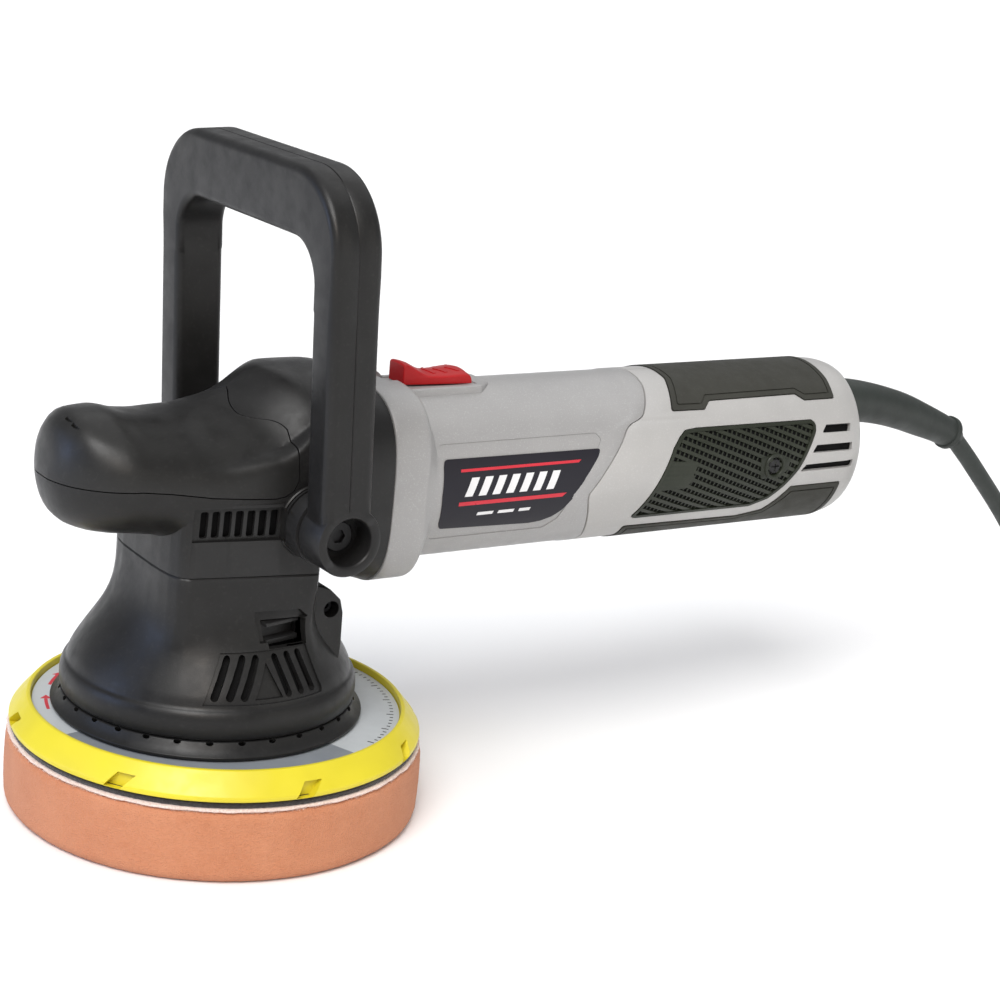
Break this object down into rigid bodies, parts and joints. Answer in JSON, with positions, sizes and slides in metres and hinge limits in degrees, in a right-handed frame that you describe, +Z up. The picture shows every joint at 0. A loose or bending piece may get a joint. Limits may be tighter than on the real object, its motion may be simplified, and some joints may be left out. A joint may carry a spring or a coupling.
{
  "type": "dual action polisher",
  "caption": "Mains-powered dual action polisher with a foam pad on an eccentric plate, angled gear head, tilting D-handle, barrel motor grip with slide switch and rear cord.",
  "frame": {"origin": "output spindle axis at the working face of the foam pad", "axes": "+X along the motor barrel to the cord end, +Z up the output spindle, -Y is the side that carries the spindle lock button"},
  "size_m": [0.6672, 0.1977, 0.2422],
  "materials": {
    "black_plastic": "satin, fine texture",
    "brass_pin": "plain",
    "cast_alu": "die cast, matte",
    "copper": "bare copper",
    "cord_black": "matte",
    "fleece": "looped fleece, matte",
    "foam": "open-cell foam, matte",
    "grey_plastic": "satin, slightly metallic paint",
    "grille_green": "matte",
    "grip_rubber": "matte textured",
    "hook_black": "hook fabric, matte",
    "label_black": "printed film, gloss",
    "label_grey": "satin printed film",
    "laminate": "laminated",
    "light_grey": "satin",
    "module": "matte",
    "plate_yellow": "satin moulded",
    "soft_black": "soft-touch satin",
    "steel": "machined",
    "switch_red": "satin gloss"
  },
  "bodies": {
    "body": {"brush_holder_left": "brass_pin", "brush_holder_right": "brass_pin", "cord_clamp": "black_plastic", "cord_coil": "cord_black", "field_coil_lower": "copper", "field_coil_upper": "copper", "gear_housing": "cast_alu", "grille_screw_left": "steel", "grille_screw_right": "steel", "handle_bolt_left": "steel", "handle_bolt_right": "steel", "head_casing": "black_plastic", "label_left": "label_black", "label_right": "label_grey", "lower_grip_inlay": "grip_rubber", "lower_housing": "black_plastic", "lug_screw_left": "steel", "lug_screw_right": "steel", "motor_bearing_front": "steel", "motor_bearing_rear": "steel", "motor_housing": "grey_plastic", "palm_rest_cover": "soft_black", "plug_body": "cord_black", "plug_pin_a": "brass_pin", "plug_pin_b": "brass_pin", "power_cord": "cord_black", "rear_shell_left": "light_grey", "rear_shell_right": "light_grey", "shroud_ring": "black_plastic", "side_grille_left": "grille_green", "side_grille_right": "grille_green", "spindle_bearing_lower": "steel", "spindle_bearing_upper": "steel", "stator_core": "laminate", "strain_relief_boot": "cord_black", "switch_module": "module", "top_grip_inlay": "grip_rubber"},
    "spindle": {"eccentric_carrier": "cast_alu", "output_spindle": "steel", "lock_disc": "steel", "crown_gear": "steel", "pad_bearing": "steel"},
    "pad": {"pad_spindle": "steel", "backing_plate": "plate_yellow", "plate_label": "label_grey", "hook_disc": "hook_black", "pad_fleece": "fleece", "foam_pad": "foam"},
    "armature": {"armature_shaft": "steel", "pinion": "steel", "fan": "black_plastic", "armature_core": "laminate", "commutator": "copper"},
    "lock_button": {"spindle_lock_button": "black_plastic", "spindle_lock_pin": "steel"},
    "switch": {"switch_slider": "switch_red", "switch_rod": "black_plastic"},
    "handle": {"d_handle": "black_plastic"},
    "dial": {"speed_dial": "black_plastic"}
  },
  "joints": [
    {"name": "spindle_spin", "type": "hinge", "parent": "body", "child": "spindle", "pos_m": [0, 0, 0], "axis": [0, 0, 1], "continuous": true},
    {"name": "pad_spin", "type": "hinge", "parent": "spindle", "child": "pad", "pos_m": [0.004, -0.001, 0], "axis": [0, 0, 1], "continuous": true},
    {"name": "armature_spin", "type": "hinge", "parent": "body", "child": "armature", "pos_m": [0, 0, 0.1207], "axis": [1, 0, 0], "continuous": true},
    {"name": "lock_press", "type": "slide", "parent": "body", "child": "lock_button", "axis": [-0.2079, 0.9781, 0], "range_m": [0, 0.004], "stiffness_N_per_m": 500, "springref_m": -0.002},
    {"name": "switch_slide", "type": "slide", "parent": "body", "child": "switch", "axis": [-1, 0, 0], "range_m": [0, 0.008]},
    {"name": "handle_tilt", "type": "hinge", "parent": "body", "child": "handle", "pos_m": [0.0166, 0, 0.1168], "axis": [0, 1, 0], "range_deg": [-25, 35]},
    {"name": "dial_turn", "type": "hinge", "parent": "body", "child": "dial", "pos_m": [0.2834, 0, 0.1039], "axis": [0, 1, 0], "range_deg": [0, 270]}
  ],
  "couplings": [
    {"joint": "armature_spin", "follows": "spindle_spin", "ratio": 4}
  ]
}
